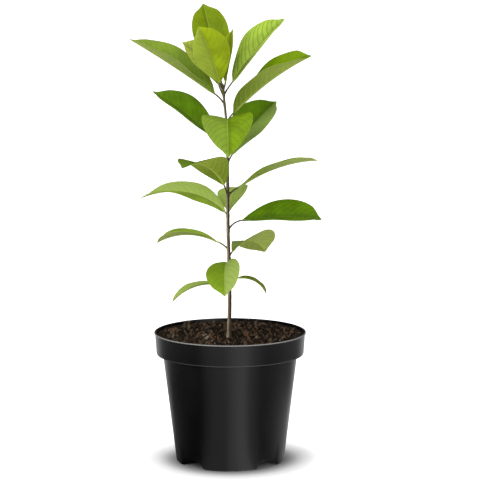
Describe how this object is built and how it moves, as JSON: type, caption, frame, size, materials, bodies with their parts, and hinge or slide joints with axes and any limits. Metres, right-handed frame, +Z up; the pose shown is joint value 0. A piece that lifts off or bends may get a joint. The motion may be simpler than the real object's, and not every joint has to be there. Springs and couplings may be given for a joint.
{
  "type": "young magnolia in a nursery pot",
  "caption": "Slim young magnolia with single broad oval leaves on stalks along one bare stem, standing in compost in a round black nursery pot with a collar and a footed base.",
  "frame": {"origin": "middle of the pot's flat underside, level with what it stands on", "axes": "+Z up along the pot's axis; -Y faces the viewer of the picture; +X to the viewer's right"},
  "size_m": [0.2151, 0.1747, 0.513],
  "materials": {
    "pot_plastic": "satin black moulded plastic",
    "compost": "dark, rough, crumbly",
    "bark": "smooth young bark, matt",
    "leaf_young": "satin, yellow-green of newly opened leaves",
    "leaf_fresh": "satin, fresh green",
    "leaf_deep": "satin, deep green of older leaves",
    "leaf_light": "satin, light yellow-green"
  },
  "bodies": {
    "root": {"pot": "pot_plastic", "compost": "compost", "trunk": "bark", "leaf_01_top_back": "leaf_young", "leaf_02_top_front": "leaf_young", "leaf_03_top_left": "leaf_young", "leaf_04_top_folded": "leaf_young", "leaf_05_upper_right": "leaf_fresh", "leaf_06_upper_left": "leaf_fresh", "leaf_07_middle_left": "leaf_deep", "leaf_08_arching_right": "leaf_fresh", "leaf_09_middle_right": "leaf_deep", "leaf_10_front": "leaf_light", "leaf_11_rolled_left": "leaf_light", "leaf_12_slim_right": "leaf_light", "leaf_13_long_left": "leaf_light", "leaf_14_back": "leaf_light", "leaf_15_broad_right": "leaf_deep", "leaf_16_lower_left": "leaf_light", "leaf_17_lower_right": "leaf_light", "leaf_18_lower_front": "leaf_light", "leaf_19_lowest_left": "leaf_light", "leaf_20_lowest_right": "leaf_light", "leaf_21_upper_hidden": "leaf_fresh", "leaf_22_lower_hidden": "leaf_light"}
  },
  "joints": []
}
